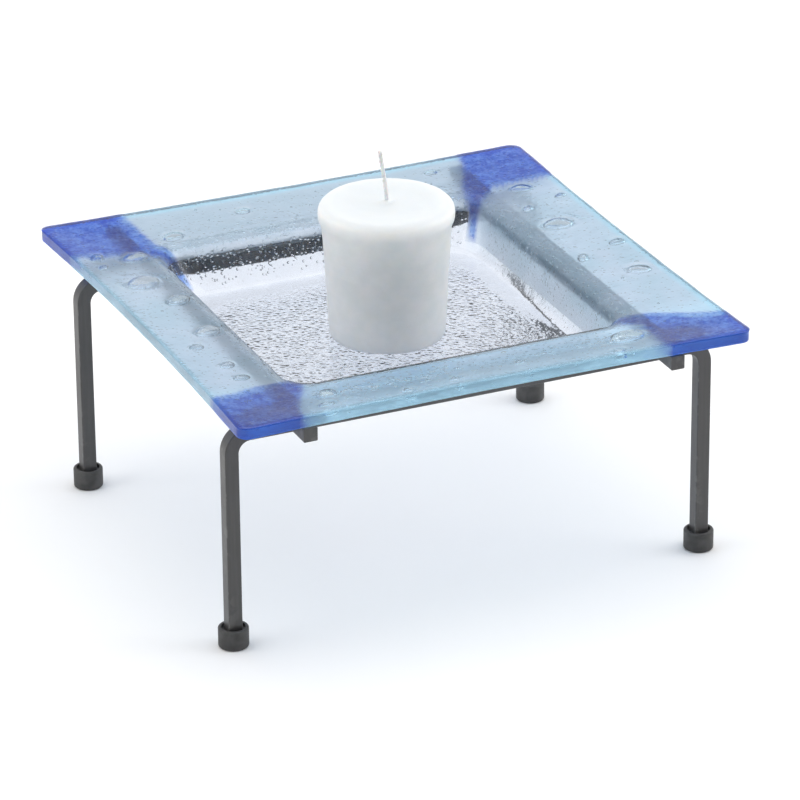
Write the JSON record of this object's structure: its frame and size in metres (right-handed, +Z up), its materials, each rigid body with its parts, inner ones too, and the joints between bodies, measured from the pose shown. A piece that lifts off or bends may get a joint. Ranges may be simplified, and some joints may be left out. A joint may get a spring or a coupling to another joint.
{
  "type": "votive candle stand",
  "caption": "Low square fused-glass plate with cobalt corners and a sunken well, resting on a black square-bar steel stand, with a white votive candle in the well.",
  "frame": {"origin": "on the ground at the centre of the stand, below the candle's axis", "axes": "+Z up, +X along the two U-shaped leg frames, +Y from the front frame to the rear one"},
  "size_m": [0.1777, 0.1778, 0.1325],
  "materials": {
    "black_steel": "satin black paint over square steel bar",
    "cap_rubber": "matt black moulded foot cap",
    "clear_glass": "clear fused glass, faint blue-grey, hammered floor",
    "aqua_glass": "pale aqua fused glass with trapped bubbles",
    "cobalt_glass": "cobalt blue fused glass, slightly mottled",
    "wax": "smooth translucent white wax",
    "wick_cotton": "braided and waxed cotton",
    "tab_metal": "thin stamped metal"
  },
  "bodies": {
    "stand": {"u_frame_front": "black_steel", "u_frame_rear": "black_steel", "cross_bar_left": "black_steel", "cross_bar_right": "black_steel", "weld_front_left": "black_steel", "weld_front_right": "black_steel", "weld_rear_right": "black_steel", "weld_rear_left": "black_steel", "foot_cap_front_left": "cap_rubber", "foot_cap_front_right": "cap_rubber", "foot_cap_rear_right": "cap_rubber", "foot_cap_rear_left": "cap_rubber"},
    "plate": {"glass_base": "clear_glass", "centre_panel": "clear_glass", "corner_tile_front_left": "cobalt_glass", "corner_tile_front_right": "cobalt_glass", "corner_tile_rear_right": "cobalt_glass", "corner_tile_rear_left": "cobalt_glass", "rim_strip_front": "aqua_glass", "rim_strip_right": "aqua_glass", "rim_strip_rear": "aqua_glass", "rim_strip_left": "aqua_glass"},
    "candle": {"candle_wax": "wax", "wick": "wick_cotton", "wick_tab": "tab_metal"}
  },
  "joints": [
    {"name": "plate_lift", "type": "slide", "parent": "stand", "child": "plate", "axis": [0, 0, 1], "range_m": [0, 0.05]},
    {"name": "candle_lift", "type": "slide", "parent": "plate", "child": "candle", "axis": [0, 0, 1], "range_m": [0, 0.05]}
  ]
}
